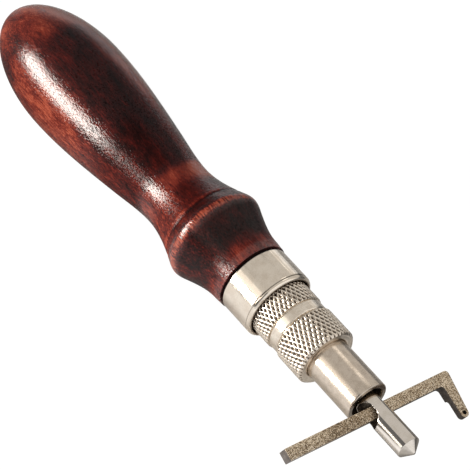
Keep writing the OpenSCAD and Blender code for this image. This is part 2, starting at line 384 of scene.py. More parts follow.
def stained_wood():
    """Dark stain over red hardwood: black-brown above and below, red on the flanks, orange on the ridge.
    A lighter red on the cutter's side and the light and dark bands at the turned line are painted light.
    """
    material, tree, shader = new_material("stained_wood")
    place = tool_place(tree)
    station, aside, _ = place.parts()
    turn_radius = place.axis_radius().calc("MAXIMUM", pole_radius)
    aside /= turn_radius
    towards_dark = (0.0, math.cos(dark_side), math.sin(dark_side))
    across = place.vector("DOT_PRODUCT", towards_dark, output="Value") / turn_radius
    patterns = {}
    for name, (along, *values) in wood_patterns.items():
        patterns[name] = place.stretched((along, 1.0, 1.0)).noise(*values)
    fibre, speck = patterns["fibre"], patterns["speck"]

    flank = (across * across).fade(0.82, 0.16)
    slim = station.between(*slim_part)
    flank_red = 1.0 - 0.62 * slim + 0.24 * station.band(-65, 4, 7)
    for low, high, share in flank_fades:
        flank_red += share * station.fade(low, high)
    # Painted light: a lighter red on the cutter's side, behind the neck, stands in for the fill light and
    # sheen there
    far_side_painted_light = aside.fade(-0.10, 0.45) * (1.0 - 0.95 * aside.fade(0.50, 0.85))
    far_side_painted_light *= station.fade(-24, -28) * (1.0 - 0.60 * slim)
    bulb_end = station.fade(-79, -86) * (1.0 - 0.75 * flank * station.fade(-97, -89))
    neck = station.between(*neck_part) * (1.0 - 0.60 * flank)
    foot = station.fade(-9.0, -2.5) * (1.0 - 0.50 * flank)
    crest = station.band(ridge_station, 0.4, 1.0) * fibre.fade(0.25, 0.65)
    groove = station.fade(groove_station - 0.2, groove_station + 0.3)

    tone = plain_tone + 0.45 * flank * flank_red + 0.64 * far_side_painted_light + 0.50 * bulb_end - groove
    tone += 0.46 * neck + 0.42 * foot + 0.74 * crest - 0.12 * station.between(*cone_part)
    tone += 0.12 * station.band(-21.5, 2.0, 3.0)
    # Painted highlight and shade at the turned line: a lighter band just behind it, a darker one just ahead
    tone += 0.18 * station.band(line_station - 0.9, 0.2, 0.5)
    tone -= 0.16 * station.band(line_station + 0.1, 0.2, 0.5)
    for name, (share, flank_share) in pattern_shares.items():
        tone += (share + flank_share * flank) * (patterns[name] - 0.5)

    crackle = patterns["crackle"] * (0.8 + 1.2 * station.fade(-66, -48))
    pored = (speck + 0.6 * fibre + crackle).bump(pore_depth)
    connect(shader, {
        "Base Color": tone.ramp(stain_colours),
        "Roughness": 0.35 + 0.25 * speck,
        "Normal": pored,
        "Coat Weight": wood_lacquer(station, aside.fade(0.0, -0.4), speck, groove),
        "Coat Normal": pored,
        "Specular IOR Level": 0.05,
        "Coat Roughness": 0.07,
        "Coat IOR": 1.6,
    })
    return material


def placed(name, data):
    """A new object in the scene, at the origin."""
    made = bpy.data.objects.new(name, data)
    bpy.context.scene.collection.objects.link(made)
    return made


def add_piece(mesh, materials, body, cad_node):
    """Puts a finished mesh into the scene, under its own name and in place of its CAD node."""
    for material in materials:
        mesh.materials.append(material)
    piece = placed(mesh.name, mesh)
    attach(piece, body)
    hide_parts(cad_node)


handle_mesh = turned("wooden_handle", handle_outline(), handle_columns)
add_piece(handle_mesh, [stained_wood()], "grip", "handle")

# Ferrule: a cup drawn from sheet metal and pressed over the tenon, its front edge rolled in round the
# collar. It is nickel-plated and softly polished, with faint marks of the lathe round it.
roll_radius = 1.0
rear_edge = 0.12
lip_edge = 0.25
crease_width = 0.4
crease_depth = 0.12
crease_station = ferrule_length - roll_radius - crease_width / 3
metal_columns = 192
hold = 0.1


def held(outline):
    """Adds points close to both ends of the long straight runs, which keeps their shading straight."""
    points = []
    for start, end in zip(outline, outline[1:]):
        points.append(start)
        length = math.dist(start, end)
        if length > 5 * hold:
            for share in (hold / length, 1 - hold / length):
                points.append(tuple(a + (b - a) * share for a, b in zip(start, end)))
    return points + [outline[-1]]


def ferrule_outline():
    """Closed outline of the cup's wall, round its rolled front edge and back along the bore."""
    roll_middle = ferrule_radius - roll_radius
    roll_station = ferrule_length - roll_radius
    points = [(0.0, ferrule_radius - ferrule_wall)]
    points += arc(rear_edge, ferrule_radius - rear_edge, rear_edge, -90, 0, 3)
    points += [(roll_station - crease_width, ferrule_radius)]
    points += [(crease_station, ferrule_radius - crease_depth)]
    points += arc(roll_station, roll_middle, roll_radius, 4, 76, 14)
    points += arc(ferrule_length - lip_edge, roll_middle + lip_edge, lip_edge, 90, 180, 5)
    return points + arc(roll_station, roll_middle, roll_radius - ferrule_wall, 90, 0, 5)


def fields(made):
    """All outputs of a node as fields, by name."""
    return {socket.name: Field(socket) for socket in made.outputs}


def new_group(name, outputs, inputs=(), kind="ShaderNodeTree"):
    """A node group, its inputs as fields and its output node; sockets are (name, type)."""
    tree = bpy.data.node_groups.new(name, kind)
    for in_out, sockets in (("INPUT", inputs), ("OUTPUT", outputs)):
        for socket, value_type in sockets:
            tree.interface.new_socket(name=socket, in_out=in_out, socket_type="NodeSocket" + value_type)
    return tree, fields(node(tree, "NodeGroupInput")), node(tree, "NodeGroupOutput")


def use_group(tree, group, inputs=None):
    """Places a node group in a material; its outputs come back as fields."""
    return fields(node(tree, "ShaderNodeGroup", inputs, node_tree=group))


def turned_marks_group():
    """Fine rings left by the lathe, as a height that changes along the axis and wavers round it."""
    tree, source, result = new_group("turned_marks", [("Height", "Float")], [("Spacing", "Float")])
    place = tool_place(tree)
    line = place.parts()[0] + place.axis_radius() + 0.15 * place.noise(0.6, 1.0)
    inputs = {"W": line / source["Spacing"], "Scale": 1.0, "Detail": 3.0}
    connect(result, {"Height": field(tree, "ShaderNodeTexNoise", inputs, "Fac", noise_dimensions="1D")})
    return tree


def plating_group():
    """Nickel plate that dulls in soft patches: a colour, and a mask of the dull places."""
    sockets = [("Bright", "Color"), ("Dull", "Color"), ("Patch Size", "Float")]
    tree, source, result = new_group("plating", [("Color", "Color"), ("Mask", "Float")], sockets)
    place = tool_place(tree)
    scale = field(tree, "ShaderNodeMath", {0: 1.0, 1: source["Patch Size"]}, operation="DIVIDE")
    specks = place.noise(9.0 * scale, 2.0, 0.6) - 0.5
    mask = (place.noise(scale, 4.0, 0.6) + 0.35 * specks).fade(0.36, 0.68)
    connect(result, {"Color": mask.mixed(source["Bright"], source["Dull"]), "Mask": mask})
    return tree


turned_marks = turned_marks_group()
plating = plating_group()
# Brown painted as shade deep inside the metal pieces and along the ferrule's crease
painted_shade_brown = (0.05, 0.038, 0.028, 1.0)


def plated_metal(name, bright, dull, patch_size, roughness, ring_spacing, ring_depth,
                 inside=None, crease_shade=None):
    """Plated metal with soft dull patches and fine turned rings. A line of shade is painted at the crease's
    station,
    darker on the cutter's side. The inside, given by its rim, bore, mouth and colour, is painted from rim
    to bore:
    that colour near the mouth for its light and shade, and dark brown shade behind the mouth."""
    material, tree, shader = new_material(name)
    colours = {"Bright": (*bright, 1.0), "Dull": (*dull, 1.0)}
    coat = use_group(tree, plating, {**colours, "Patch Size": patch_size})
    rings = use_group(tree, turned_marks, {"Spacing": ring_spacing})["Height"]
    smooth, rough = roughness
    colour, metal = coat["Color"], 1.0
    # Painted light and shade inside: the given colour near the mouth, painted brown shade deeper in
    if inside:
        rim, bore, mouth, painted_mouth_colour = inside
        place = tool_place(tree)
        hidden = place.axis_radius().fade(rim, bore)
        deep = place.parts()[0].fade(mouth - 0.2, mouth - 0.9)
        colour = hidden.mixed(colour, deep.mixed((*painted_mouth_colour, 1.0), painted_shade_brown))
        metal = 1.0 - 0.9 * hidden
    # Painted shade: a dark line along the crease, stronger on the cutter's side
    if crease_shade:
        station, aside, _ = tool_place(tree).parts()
        darkening = station.band(crease_shade, 0.06, 0.14) * (0.4 + 0.6 * aside.fade(-4.0, 4.0))
        colour = darkening.mixed(colour, painted_shade_brown)
    connect(shader, {
        "Base Color": colour,
        "Metallic": metal,
        "Roughness": smooth + (rough - smooth) * coat["Mask"],
        "Normal": rings.bump(ring_depth),
    })
    return material


# The ferrule's rolled lip is painted dark brown inside, as shade and as the dark knurl it mirrors, and a
# painted line of shade runs along its crease
polished_nickel = plated_metal(
    "polished_nickel", (0.82, 0.74, 0.64), (0.73, 0.64, 0.54), patch_size=3.0, roughness=(0.11, 0.17),
    ring_spacing=0.25, ring_depth=0.000002, crease_shade=crease_station,
    inside=(ferrule_radius - 0.45, ferrule_radius - 0.80, ferrule_length, (0.16, 0.11, 0.07)))
ferrule_mesh = turned("nickel_ferrule", held(ferrule_outline()), metal_columns)
add_piece(ferrule_mesh, [polished_nickel], "grip", "ferrule")

# Chuck body: turned from one steel bar, with a tang glued into the wood, a collar rolled with a diamond
# knurl, a smooth band and the stud that the clamp nut screws on. It is nickel-plated.
_, stud_end, collar_radius = round_node("chuck_body")
rod_rear, rod_end, rod_radius = round_node("guide_rod", "y")
stud_radius = 6.45
collar_end = ferrule_length + 5.7
band_end = collar_end + 2.9
band_radius = 7.7
band_edge = 0.15
edge_chamfer = 0.4
relief = 0.2
knurl_starts = 41
knurl_pitch = 2.3
knurl_depth = 0.42
knurl_ridge = 0.10
knurl_rows = 12
knurl_columns = knurl_starts * knurl_rows
row_margin = 0.2
knurl_reach = 0.01

# One pit of the collar's knurl: its station and its turn in degrees
collar_pit = (12.72, 163.8)


def knurl_tree():
    """Presses a diamond knurl into the outside of a turned blank and marks how deep each place lies."""
    numbers = ("Starts", "Pitch", "Depth", "Ridge", "Outer Radius", "From", "To", "Pit Station", "Pit Turn")
    sockets = [("Geometry", "Geometry"), ("Axis", "Vector"), ("Material", "Material")]
    sockets += [(name, "Float") for name in numbers]
    tree, source, result = new_group("diamond_knurl", sockets[:1], sockets, "GeometryNodeTree")
    outer, depth = source["Outer Radius"], source["Depth"]
    place = field(tree, "GeometryNodeInputPosition").vector("SUBTRACT", source["Axis"])
    x, y, z = place.parts()
    radius = place.axis_radius()
    turn = (z.calc("ARCTAN2", y) - source["Pit Turn"]) * source["Starts"] / (2 * math.pi)
    run = (x - source["Pit Station"]) / source["Pitch"]
    rises = [helix.calc("PINGPONG", 0.5) for helix in (turn + run, turn - run)]
    pit = 1.0 - 2.0 * rises[0].calc("MAXIMUM", rises[1])
    pit = field(tree, "ShaderNodeMapRange", {"Value": pit, "From Min": source["Ridge"], "From Max": 1.0})
    share = radius.calc("MINIMUM", outer - depth * pit) / radius
    chosen = radius.calc("GREATER_THAN", outer - 2.0 * depth)
    chosen *= x.calc("GREATER_THAN", source["From"]) * x.calc("LESS_THAN", source["To"])
    inwards = field(tree, "ShaderNodeCombineXYZ", {0: 1.0, 1: share, 2: share})
    moved = place.vector("MULTIPLY_ADD", inwards, source["Axis"])
    mark = {"Geometry": source["Geometry"], "Name": "pit", "Value": pit * chosen}
    marked = field(tree, "GeometryNodeStoreNamedAttribute", mark)
    move = {"Geometry": marked, "Selection": chosen, "Position": moved}
    real = field(tree, "GeometryNodeRealizeInstances", {0: field(tree, "GeometryNodeSetPosition", move)})
    dress = {"Geometry": real, "Material": source["Material"]}
    connect(result, {0: field(tree, "GeometryNodeSetMaterial", dress)})
    return tree


diamond_knurl = knurl_tree()


def discard(piece):
    """Removes an object and its mesh."""
    mesh = piece.data
    bpy.data.objects.remove(piece)
    bpy.data.meshes.remove(mesh)


def evaluated_mesh(piece, name):
    """The mesh that an object's modifiers make, as a plain mesh; the object is removed."""
    shaped = piece.evaluated_get(bpy.context.evaluated_depsgraph_get())
    mesh = bpy.data.meshes.new_from_object(shaped)
    mesh.name = name
    discard(piece)
    return mesh


def knurled(name, blank, material, outer_radius, start, end, pit):
    """Knurls a turned blank between two stations and returns the plain mesh."""
    piece = placed(name + "_blank", blank)
    modifier = piece.modifiers.new("knurl", "NODES")
    modifier.node_group = diamond_knurl
    values = {"Axis": axis_origin, "Material": material, "Starts": float(knurl_starts)}
    values.update({"Ridge": knurl_ridge, "Pitch": knurl_pitch * MM, "Depth": knurl_depth * MM})
    values.update({"Outer Radius": outer_radius * MM, "From": start * MM, "To": end * MM})
    values.update({"Pit Station": pit[0] * MM, "Pit Turn": math.radians(pit[1])})
    for socket in diamond_knurl.interface.items_tree:
        if socket.name in values:
            modifier[socket.identifier] = values[socket.name]
    return shaded(evaluated_mesh(piece, name), sharp_angle=50)


def knurl_stations(start, end, pit_station):
    """Stations of the knurl's rows between two stations, in step with its pits."""
    step = knurl_pitch / knurl_rows
    first = math.ceil((start - pit_station) / step + row_margin)
    last = math.floor((end - pit_station) / step - row_margin)
    return [pit_station + row * step for row in range(first, last + 1)]


def knurled_nickel():
    """Nickel plate over the knurl: worn bright on the ridges, and down in the pits darker brown and duller,
    partly dirt and partly painted shade.
    """
    material, tree, shader = new_material("knurled_nickel")
    colours = {"Bright": (0.84, 0.76, 0.66, 1.0), "Dull": (0.71, 0.62, 0.52, 1.0), "Patch Size": 1.6}
    coat = use_group(tree, plating, colours)
    # Darker brown deeper in the pits: partly dirt, partly painted shade
    darkening = field(tree, "ShaderNodeAttribute", output="Fac", attribute_name="pit").fade(0.10, 0.70)
    rings = use_group(tree, turned_marks, {"Spacing": 0.3})["Height"]
    connect(shader, {
        "Base Color": darkening.mixed(coat["Color"], (0.12, 0.085, 0.06, 1.0)),
        "Metallic": 1.0,
        "Roughness": 0.18 + 0.25 * darkening,
        "Normal": rings.bump(0.000003),
    })
    return material


def chuck_outline():
    """Outline of the chuck body from the tang's point to the bottom of the rod's socket."""
    rows = knurl_stations(tenon_end + edge_chamfer, collar_end - edge_chamfer, collar_pit[0])
    points = [(tang_end, 0.0), (tang_end + tang_point, tang_radius), (tenon_end, tang_radius)]
    points += [(tenon_end, collar_radius - edge_chamfer), (tenon_end + edge_chamfer, collar_radius)]
    points += [(row, collar_radius) for row in rows]
    points += [(collar_end - edge_chamfer, collar_radius)]
    points += [(collar_end - relief, collar_radius - edge_chamfer)]
    points += [(collar_end - relief, band_radius - relief), (collar_end, band_radius - relief)]
    points += arc(collar_end + band_edge, band_radius - band_edge, band_edge, -90, 0, 3)
    points += [(band_end - edge_chamfer, band_radius), (band_end, band_radius - edge_chamfer)]
    socket_radius = rod_radius + glue_gap
    points += [(band_end, stud_radius), (stud_end, stud_radius), (stud_end, socket_radius)]
    return points + [(rod_rear, socket_radius), (rod_rear, 0.0)]


plated_knurl = knurled_nickel()
chuck_blank = turned("chuck_blank", held(chuck_outline()), knurl_columns)
chuck_mesh = knurled("knurled_chuck", chuck_blank, plated_knurl, collar_radius,
                     tenon_end - knurl_reach, collar_end - relief + knurl_reach, collar_pit)
add_piece(chuck_mesh, [], "grip", "chuck_body")

# Guide rod: a ground and polished steel rod with a cone point, pressed into the chuck body. The slot
# across it, its rim eased all round, takes the groover bar. A hidden pin holds it in the tang.
rod_rear_edge = 0.2
cone_foot = rod_end - 2.1
cone_edge_back = 0.06
cone_edge_front = 0.05
tip_radius = 0.25
tip_edge = 0.08
tip_swell = 0.1
slot_width = 5.1
slot_length = 6.8
slot_ahead = 0.05
bar_station = cone_foot - 11.65
slot_middle = bar_station + slot_ahead
slot_rim = 0.12
rod_columns = 128
patch_half = 4.5
patch_steps = 12
rim_shares = (1.0, 0.67, 0.33, 0.0)
patch_shares = (0.2, 0.45, 0.7, 1.0)
weld_gap = 0.0001


def rod_outline():
    """Outline of the rod from its flat rear end to the blunt tip of the cone."""
    points = [(rod_rear, 0.0)]
    points += arc(rod_rear + rod_rear_edge, rod_radius - rod_rear_edge, rod_rear_edge, -90, 0, 3)
    points += [(cone_foot - cone_edge_back, rod_radius)]
    points += [(cone_foot + cone_edge_front, rod_radius - cone_edge_back)]
    points += [(rod_end - tip_edge, tip_radius + tip_swell), (rod_end, tip_radius - tip_edge)]
    return points + [(rod_end, 0.0)]


def mouth_loop():
    """Places round a mouth of the slot: on the patch's border (along, turn), on the rim (middle, turn)."""
    reach = (slot_length - slot_width) / 2
    quarter = math.pi / 2
    half_columns = rod_columns // 2
    loop = []
    for ahead in (1, -1):
        for step in range(half_columns):
            turn = ahead * math.pi * (step / half_columns - 0.5)
            rim_turn = turn if ahead > 0 else math.pi - turn
            loop.append((ahead * patch_half, turn, ahead * reach, rim_turn))
        for step in range(patch_steps):
            share = ahead * (1 - 2 * step / patch_steps)
            loop.append((patch_half * share, ahead * quarter, reach * share, ahead * quarter))
    return loop


def rod_point(along, height, side, sunk=0.0):
    """A point on the rod at a place ahead of the slot's middle and a height, or sunk below its skin."""
    across = side * (math.sqrt(rod_radius ** 2 - height ** 2) - sunk)
    return axis_origin + Vector((slot_middle + along, across, height)) * MM


def mouth_rings(side):
    """Rings of points from the slot's wall over its eased rim and out to the border of the patch."""
    rings = []
    for share in rim_shares:
        size = slot_width / 2 + slot_rim * (1 - share) ** 2
        sunk = slot_rim * share ** 2
        ring = []
        for _, _, middle, turn in mouth_loop():
            ring.append(rod_point(middle + size * math.cos(turn), size * math.sin(turn), side, sunk))
        rings.append(ring)
    size = slot_width / 2 + slot_rim
    for share in patch_shares:
        ring = []
        for border_along, border_turn, middle, turn in mouth_loop():
            along = middle + size * math.cos(turn)
            height_turn = math.asin(size * math.sin(turn) / rod_radius)
            along += (border_along - along) * share
            height_turn += (border_turn - height_turn) * share
            ring.append(rod_point(along, rod_radius * math.sin(height_turn), side))
        rings.append(ring)
    return rings


def slotted_rod(name):
    """The rod's two turned ends, joined by a patch round each mouth of the slot and the slot's wall."""
    shape = bmesh.new()
    ends = (slot_middle - patch_half, slot_middle + patch_half)
    rear = [point for point in rod_outline() if point[0] < ends[0]] + [(ends[0], rod_radius)]
    front = [point for point in reversed(rod_outline()) if point[0] > ends[1]] + [(ends[1], rod_radius)]
    for outline in (rear, front):
        part = turned("rod_part", held(outline), rod_columns)
        shape.from_mesh(part)
        bpy.data.meshes.remove(part)
    walls = []
    for side in (1, -1):
        rings = [[shape.verts.new(point) for point in ring] for ring in mouth_rings(side)]
        for back, front in zip(rings, rings[1:]):
            skin(shape, back, front, len(back))
        walls.append(rings[0])
    for face in skin(shape, *walls, len(walls[0])):
        face.material_index = 1
    bmesh.ops.remove_doubles(shape, verts=shape.verts, dist=weld_gap * MM)
    return shaded(mesh_from(name, shape))


ground_steel = plated_metal(
    "ground_steel", (0.79, 0.73, 0.67), (0.71, 0.65, 0.58), patch_size=2.2, roughness=(0.07, 0.12),
    ring_spacing=0.18, ring_depth=0.000001)
# The slot's wall is milled steel, its colour darkened further as painted shade inside the slot
milled_steel_and_shade = plated_metal(
    "milled_steel_and_shade", (0.26, 0.22, 0.18), (0.10, 0.08, 0.07), patch_size=1.0, roughness=(0.35, 0.50),
    ring_spacing=0.30, ring_depth=0.000004)
rod_mesh = slotted_rod("guide_rod_polished")
add_piece(rod_mesh, [ground_steel, milled_steel_and_shade], "grip", "guide_rod")

# Inner pieces: the pin across tang and rod, the brass washer under the nut and the split spring ring that
# holds it. They are bought parts, seen only when the tool is taken apart, and keep their CAD shapes.
drawn_steel = plated_metal(
    "drawn_steel", (0.62, 0.62, 0.63), (0.42, 0.41, 0.41), patch_size=1.5, roughness=(0.25, 0.40),
    ring_spacing=0.15, ring_depth=0.000002)
stamped_brass = plated_metal(
    "stamped_brass", (0.80, 0.62, 0.30), (0.60, 0.43, 0.20), patch_size=2.0, roughness=(0.25, 0.42),
    ring_spacing=0.20, ring_depth=0.000003)
inner_finishes = {"rod_pin": drawn_steel, "retaining_ring": drawn_steel, "thrust_washer": stamped_brass}
for inner, finish in inner_finishes.items():
    inner_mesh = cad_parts[inner].data
    inner_mesh.materials.clear()
    inner_mesh.materials.append(finish)

# Clamp nut: turned from bar, knurled like the collar, bored and threaded behind and faced in front, where
# a lip closes round the sleeve. It turns on the stud and pushes the sleeve against the bar.
nut_start, nut_end, nut_radius = round_node("clamp_nut")
ring_rear, ring_front, _ = round_node("retaining_ring")
nut_front_chamfer = 0.6
lip_face = nut_end - 1.6
thread_radius = 6.5
ring_groove_radius = 7.1
sleeve_radius = 5.7
running_gap = 0.05
nut_pit = (22.05, 173.8)

# Ring turned into the front face: distance from the face's edge, depth
face_ring = ((0.35, 0.0), (0.45, 0.06), (0.60, 0.06), (0.70, 0.0))

# Eased edge of the lip: distance from the bore, depth
lip_ease = ((0.45, 0.0), (0.12, 0.2), (0.0, 0.35))


def nut_outline():
    """Closed outline of the nut: knurled outside, faced front with a turned ring, lip and bore."""
    rows = knurl_stations(nut_start + edge_chamfer, nut_end - nut_front_chamfer, nut_pit[0])
    bore = sleeve_radius + running_gap
    front_radius = nut_radius - nut_front_chamfer
    points = [(nut_start, nut_radius - edge_chamfer), (nut_start + edge_chamfer, nut_radius)]
    points += [(row, nut_radius) for row in rows]
    points += [(nut_end - nut_front_chamfer, nut_radius), (nut_end, front_radius)]
    points += [(nut_end - depth, front_radius - inset) for inset, depth in face_ring]
    points += [(nut_end - depth, bore + rise) for rise, depth in lip_ease]
    points += [(lip_face, bore), (lip_face, thread_radius)]
    points += [(ring_front, thread_radius), (ring_front, ring_groove_radius)]
    points += [(ring_rear - running_gap, ring_groove_radius), (ring_rear - running_gap, thread_radius)]
    return points + [(nut_start, thread_radius)]


nut_blank = turned("nut_blank", held(nut_outline()), knurl_columns)
nut_mesh = knurled("knurled_clamp_nut", nut_blank, plated_knurl, nut_radius,
                   nut_start - knurl_reach, nut_end - 2 * knurl_reach, nut_pit)
add_piece(nut_mesh, [], "nut", "clamp_nut")

# Push sleeve: a flanged steel tube, turned and satin nickel-plated, that slides on the rod. The nut holds
# it by the flange, and its mouth presses on the groover bar.
flange_rear, sleeve_end, flange_radius = round_node("push_sleeve")
flange_thickness = 1.15
mouth_wall = 1.25
mouth_radius = sleeve_radius - mouth_wall
mouth_depth = 10.4
mouth_edge = 0.40
bore_edge = 0.08


def sleeve_outline():
    """Closed outline of the sleeve: flange, tube, eased mouth, wide bore and running bore."""
    bore = rod_radius + running_gap
    flange_front = flange_rear + flange_thickness
    points = [(flange_rear, bore), (flange_rear, flange_radius), (flange_front, flange_radius)]
    points += [(flange_front, sleeve_radius), (nut_end, sleeve_radius)]
    points += arc(sleeve_end - mouth_edge, sleeve_radius - mouth_edge, mouth_edge, 0, 90, 5)
    points += arc(sleeve_end - bore_edge, mouth_radius + bore_edge, bore_edge, 90, 180, 3)
    return points + [(sleeve_end - mouth_depth, mouth_radius), (sleeve_end - mouth_depth, bore)]


# Inside the sleeve's mouth a tan band is painted for the light on the lip, and dark brown shade deeper in
satin_nickel = plated_metal(
    "satin_nickel", (0.67, 0.58, 0.49), (0.54, 0.46, 0.38), patch_size=1.6, roughness=(0.18, 0.28),
    ring_spacing=0.16, ring_depth=0.000003,
    inside=(mouth_radius + 0.06, mouth_radius, sleeve_end, (0.42, 0.31, 0.20)))
sleeve_mesh = turned("satin_push_sleeve", held(sleeve_outline()), metal_columns)
add_piece(sleeve_mesh, [satin_nickel], "sleeve", "push_sleeve")

# Groover bar: a square bar with one end bent round to an arm, cast rough and bronzed, its sides and ends
# sheared clean. The arm is thinned from below and pierced by the cutting eye. It slides through the slot.
bar_low, bar_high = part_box("groover_bar")
bar_plain = (axis_y - bar_low.y) / MM
bar_cutter = (bar_high.y - axis_y) / MM
bar_side = 3.0
bar_half = bar_side / 2
bar_turn = math.radians(21.6)
bar_edge = 0.12
edge_segments = 2
ease_angle = math.radians(34)
corner_radius = 1.0
corner_steps = 8
arm_width = 3.0
arm_tip_radius = 1.125
arm_reach = 10.4
arm_thickness = 2.0
arm_root_x = bar_half + corner_radius
arm_tip_x = arm_reach - arm_tip_radius
arm_tip_steps = 20
arm_lean = math.asin((arm_width / 2 - arm_tip_radius) / (arm_tip_x - arm_root_x))
step_at = 5.0
step_radius = 0.9
eye_radius = 0.525
eye_back = 1.15
eye_sides = 30
spare = 0.5


def arm_half(x):
    """Half the arm's width at a place along it, in mm ahead of the bar's middle."""
    return arm_tip_radius / math.cos(arm_lean) + (arm_tip_x - x) * math.tan(arm_lean)


arm_outside = bar_cutter - corner_radius + corner_radius / math.cos(arm_lean)
arm_middle = arm_outside - arm_half(corner_radius - bar_half)
eye_middle = (arm_reach - eye_back, arm_middle)


def bar_place(offset=Matrix.Identity(4)):
    """Matrix from the bar's own mm to the part's frame."""
    middle = axis_origin + Vector((bar_station * MM, 0, 0))
    return Matrix.Translation(middle) @ Matrix.Rotation(bar_turn, 4, "Y") @ Matrix.Scale(MM, 4) @ offset


def prism(name, outline, depth, matrix):
    """A solid that stands half its depth to each side of an outline, placed by the matrix, in mm."""
    shape = bmesh.new()
    corners = [shape.verts.new((x, y, -depth / 2)) for x, y in outline]
    face = shape.faces.new(corners)
    raised = bmesh.ops.extrude_face_region(shape, geom=[face])["geom"]
    lifted = [item for item in raised if isinstance(item, bmesh.types.BMVert)]
    bmesh.ops.translate(shape, verts=lifted, vec=(0, 0, depth))
    shape.transform(matrix)
    return mesh_from(name, shape)


def take_away(piece, shape):
    """Adds a cutter of that shape to a piece and returns it."""
    tool = placed(shape.name, shape)
    taken = piece.modifiers.new(shape.name, "BOOLEAN")
    taken.object = tool
    taken.operation = "DIFFERENCE"
    taken.solver = "EXACT"
    return tool


def cut(name, blank, cutter, drill):
    """Cuts a shape out of a blank, eases the edges and drills it last; returns the plain mesh."""
    piece = placed(name + "_blank", blank)
    tools = [take_away(piece, cutter)]
    eased = piece.modifiers.new("eased_edges", "BEVEL")
    eased.width = bar_edge * MM
    eased.segments = edge_segments
    eased.limit_method = "ANGLE"
    eased.angle_limit = ease_angle
    tools.append(take_away(piece, drill))
    mesh = evaluated_mesh(piece, name)
    for tool in tools:
        discard(tool)
    return shaded(mesh)


def bar_outline():
    """Outline of the bar and its arm seen from above, x ahead and y along the bar."""
    lean = math.degrees(arm_lean)
    inner = (arm_root_x, arm_middle - arm_half(arm_root_x) - corner_radius / math.cos(arm_lean))
    outer = (corner_radius - bar_half, bar_cutter - corner_radius)
    points = [(-bar_half, -bar_plain), (bar_half, -bar_plain)]
    points += round_points(inner, corner_radius, 180, 90 + lean, corner_steps)
    points += round_points((arm_tip_x, arm_middle), arm_tip_radius, lean - 90, 90 - lean, arm_tip_steps)
    return points + round_points(outer, corner_radius, 90 - lean, 180, corner_steps)


def step_outline():
    """Section of the metal taken off below the arm, x ahead and y down."""
    below = bar_half + spare
    under = arm_thickness - bar_half
    points = [(step_at, below), (arm_reach + spare, below), (arm_reach + spare, under)]
    middle = (step_at + step_radius, under + step_radius)
    return points + round_points(middle, step_radius, 270, 180, corner_steps)


def cast_bar():
    """Rough bronzed casting: olive-gold skin with dark pits, rubbed brighter in places."""
    material, tree, shader = new_material("cast_bar")
    place = tool_place(tree)
    blotch = place.noise(0.5, 4.0, 0.6)
    grain = place.noise(4.0, 2.0, 0.7)
    pits = field(tree, "ShaderNodeTexVoronoi", {"Vector": place, "Scale": 3.2}, "Distance")
    pitted = pits.fade(0.40, 0.15) * grain.fade(0.60, 0.45)
    tone = 0.35 * (blotch - 0.5) + 2.6 * grain - 0.80
    tone -= 0.10 * place.parts()[1].band(-9.0, 3.0, 7.0)
    colour = tone.ramp([
        (0.34, (0.150, 0.098, 0.055)),
        (0.45, (0.460, 0.325, 0.192)),
        (0.55, (0.720, 0.540, 0.340)),
        (0.68, (0.950, 0.825, 0.650)),
    ])
    connect(shader, {
        "Base Color": pitted.mixed(colour, (0.075, 0.050, 0.032, 1.0)),
        "Metallic": 0.6,
        "Roughness": 0.26 + 0.30 * grain,
        "Normal": (grain - pitted).bump(0.00006),
    })
    return material


def sheared_steel():
    """Smooth grey steel where the bar was sheared to size, with faint mottling."""
    material, tree, shader = new_material("sheared_steel")
    place = tool_place(tree)
    cloud = place.noise(0.8, 4.0, 0.65)
    scratch = place.stretched((3.0, 0.5, 3.0)).noise(2.0)
    connect(shader, {
        "Base Color": cloud.ramp([(0.30, (0.09, 0.076, 0.066)), (0.70, (0.20, 0.172, 0.155))]),
        "Metallic": 0.8,
        "Roughness": 0.32 + 0.20 * scratch,
        "Normal": scratch.bump(0.000006),
    })
    return material


def eye_wall_painted_shade():
    """Wall of the eye, painted near black as the shade in the small hole, a little browner in patches."""
    material, tree, shader = new_material("eye_wall_painted_shade")
    patchy = tool_place(tree).noise(4.0)
    connect(shader, {
        "Base Color": patchy.ramp([(0.3, (0.004, 0.003, 0.003)), (0.8, (0.030, 0.022, 0.016))]),
        "Roughness": 0.5 + 0.3 * patchy,
    })
    return material


bar_blank = prism("bar_blank", bar_outline(), bar_side, bar_place())
side_on = Matrix.Translation((0, bar_cutter - arm_width / 2, 0))
side_on = side_on @ Matrix.Rotation(math.radians(-90), 4, "X")
step_cutter = prism("step_cutter", step_outline(), arm_width + 2 * spare, bar_place(side_on))
eye_outline = round_points(eye_middle, eye_radius, 0, 360 - 360 / eye_sides, eye_sides - 1)
eye_cutter = prism("eye_cutter", eye_outline, 2 * bar_side, bar_place())
bar_mesh = cut("cast_groover_bar", bar_blank, step_cutter, eye_cutter)

# The top and underside keep the rough skin; the other faces are sheared, or the eye's wall in painted shade
eye_reach = eye_radius * 1.01 * MM
skin_tilt = 0.3
top_side = Vector((math.sin(bar_turn), 0.0, math.cos(bar_turn)))
eye_place = bar_place() @ Vector((*eye_middle, 0.0))
for face in bar_mesh.polygons:
    if (face.center - eye_place).cross(top_side).length < eye_reach:
        # The eye's wall takes the painted shade
        face.material_index = 2
    elif abs(face.normal.dot(top_side)) < skin_tilt:
        face.material_index = 1
bar_finishes = [cast_bar(), sheared_steel(), eye_wall_painted_shade()]
add_piece(bar_mesh, bar_finishes, "bar", "groover_bar")

# Stage: a pale table that runs out to a white surround. To the eye it is nearly white and keeps a soft
# share of the tool's shadow. The metal sees it bright beside the clamp and rod, on the side away from the
# cutter, and greyer elsewhere, with a painted shadow beside the rod on the cutter's side.
floor_half = 2.5
floor_white = 0.78
floor_glow = 1.22
floor_colour = (0.76, 0.75, 0.74, 1.0)


